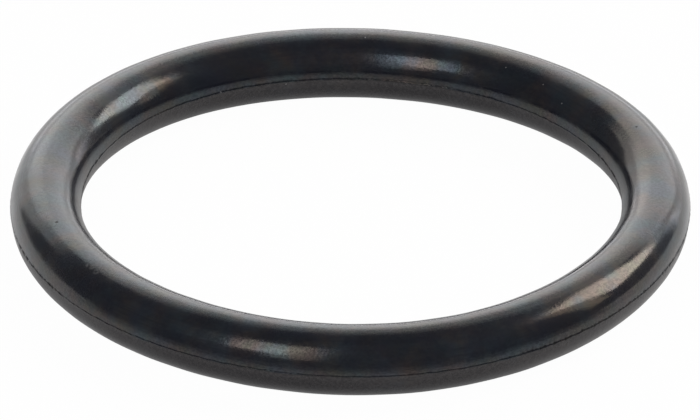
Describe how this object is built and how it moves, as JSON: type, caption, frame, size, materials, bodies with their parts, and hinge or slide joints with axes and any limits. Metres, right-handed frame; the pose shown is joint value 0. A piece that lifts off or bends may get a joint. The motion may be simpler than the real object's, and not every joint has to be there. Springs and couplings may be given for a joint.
{
  "type": "o-ring",
  "caption": "Round-section moulded rubber O-ring seal lying flat, with a fine trimmed parting line round its inner and outer edge.",
  "frame": {"origin": "on the ring's axis, level with the face that the ring rests on", "axes": "+Z along the ring's axis, up from the face it rests on; the ring is the same in every direction round +Z"},
  "size_m": [0.0514, 0.0514, 0.0053],
  "materials": {
    "nitrile_rubber": "moulded black nitrile rubber, low gloss, with a faint grey bloom"
  },
  "bodies": {
    "root": {"o_ring": "nitrile_rubber"}
  },
  "joints": []
}
